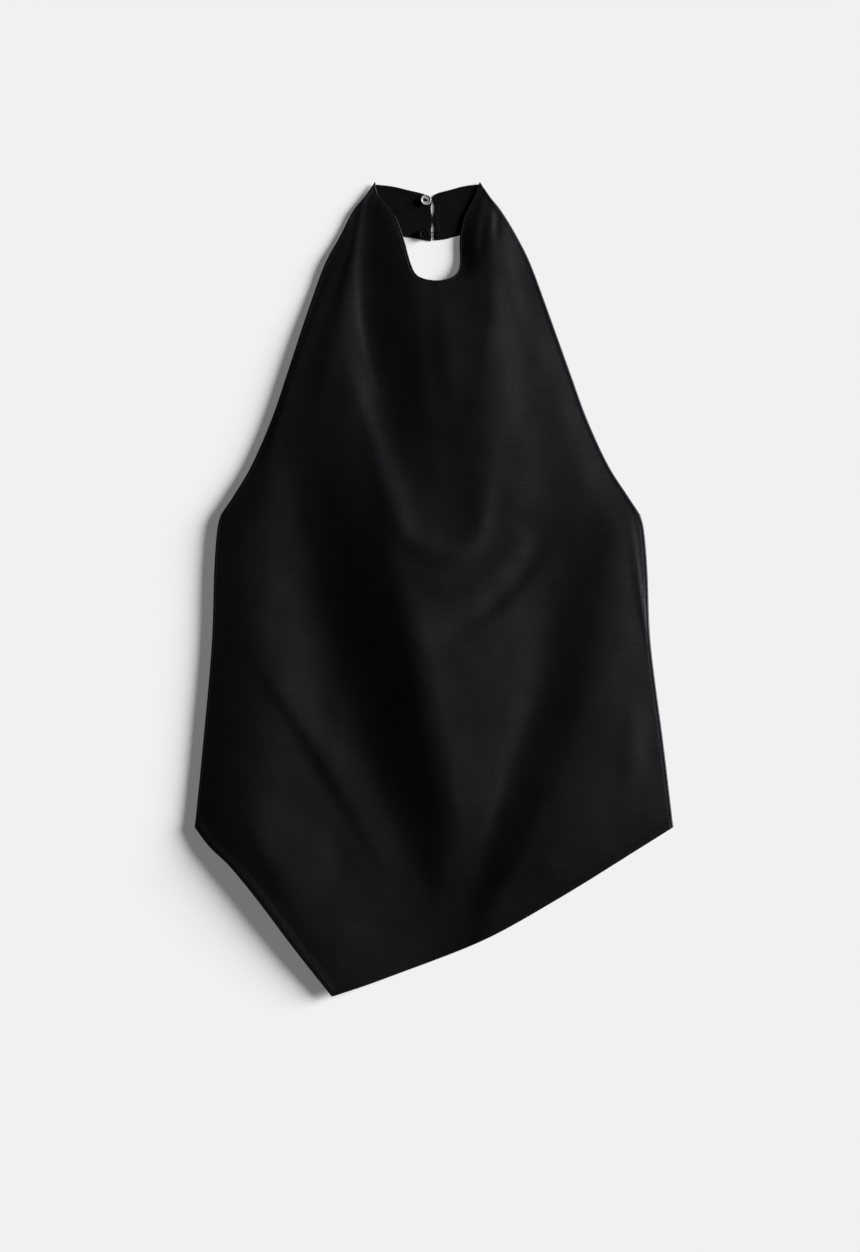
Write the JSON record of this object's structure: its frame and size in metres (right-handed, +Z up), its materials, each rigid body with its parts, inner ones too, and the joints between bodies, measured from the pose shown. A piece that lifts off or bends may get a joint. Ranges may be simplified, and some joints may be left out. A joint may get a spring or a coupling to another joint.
{
  "type": "halter neck top",
  "caption": "Sleeveless halter neck top in black satin with a draped cowl front, pointed hem and buttoned back collar, laid flat.",
  "frame": {"origin": "under the middle of the laid-out top, on the surface that it lies on", "axes": "+Y from the hem to the neck, +Z up out of the front, +X to the right of someone who looks down at the front"},
  "size_m": [0.4677, 0.796, 0.0203],
  "materials": {
    "satin": "black satin, soft sheen, fine crosswise weave",
    "pale_button": "pale grey, satin gloss",
    "black_button": "black, satin gloss",
    "thread": "black twisted thread"
  },
  "bodies": {
    "root": {"front_panel": "satin", "back_panel": "satin", "collar_left": "satin", "collar_right": "satin", "button_top": "pale_button", "button_bottom": "black_button", "loop_top": "thread", "loop_bottom": "thread"}
  },
  "joints": []
}
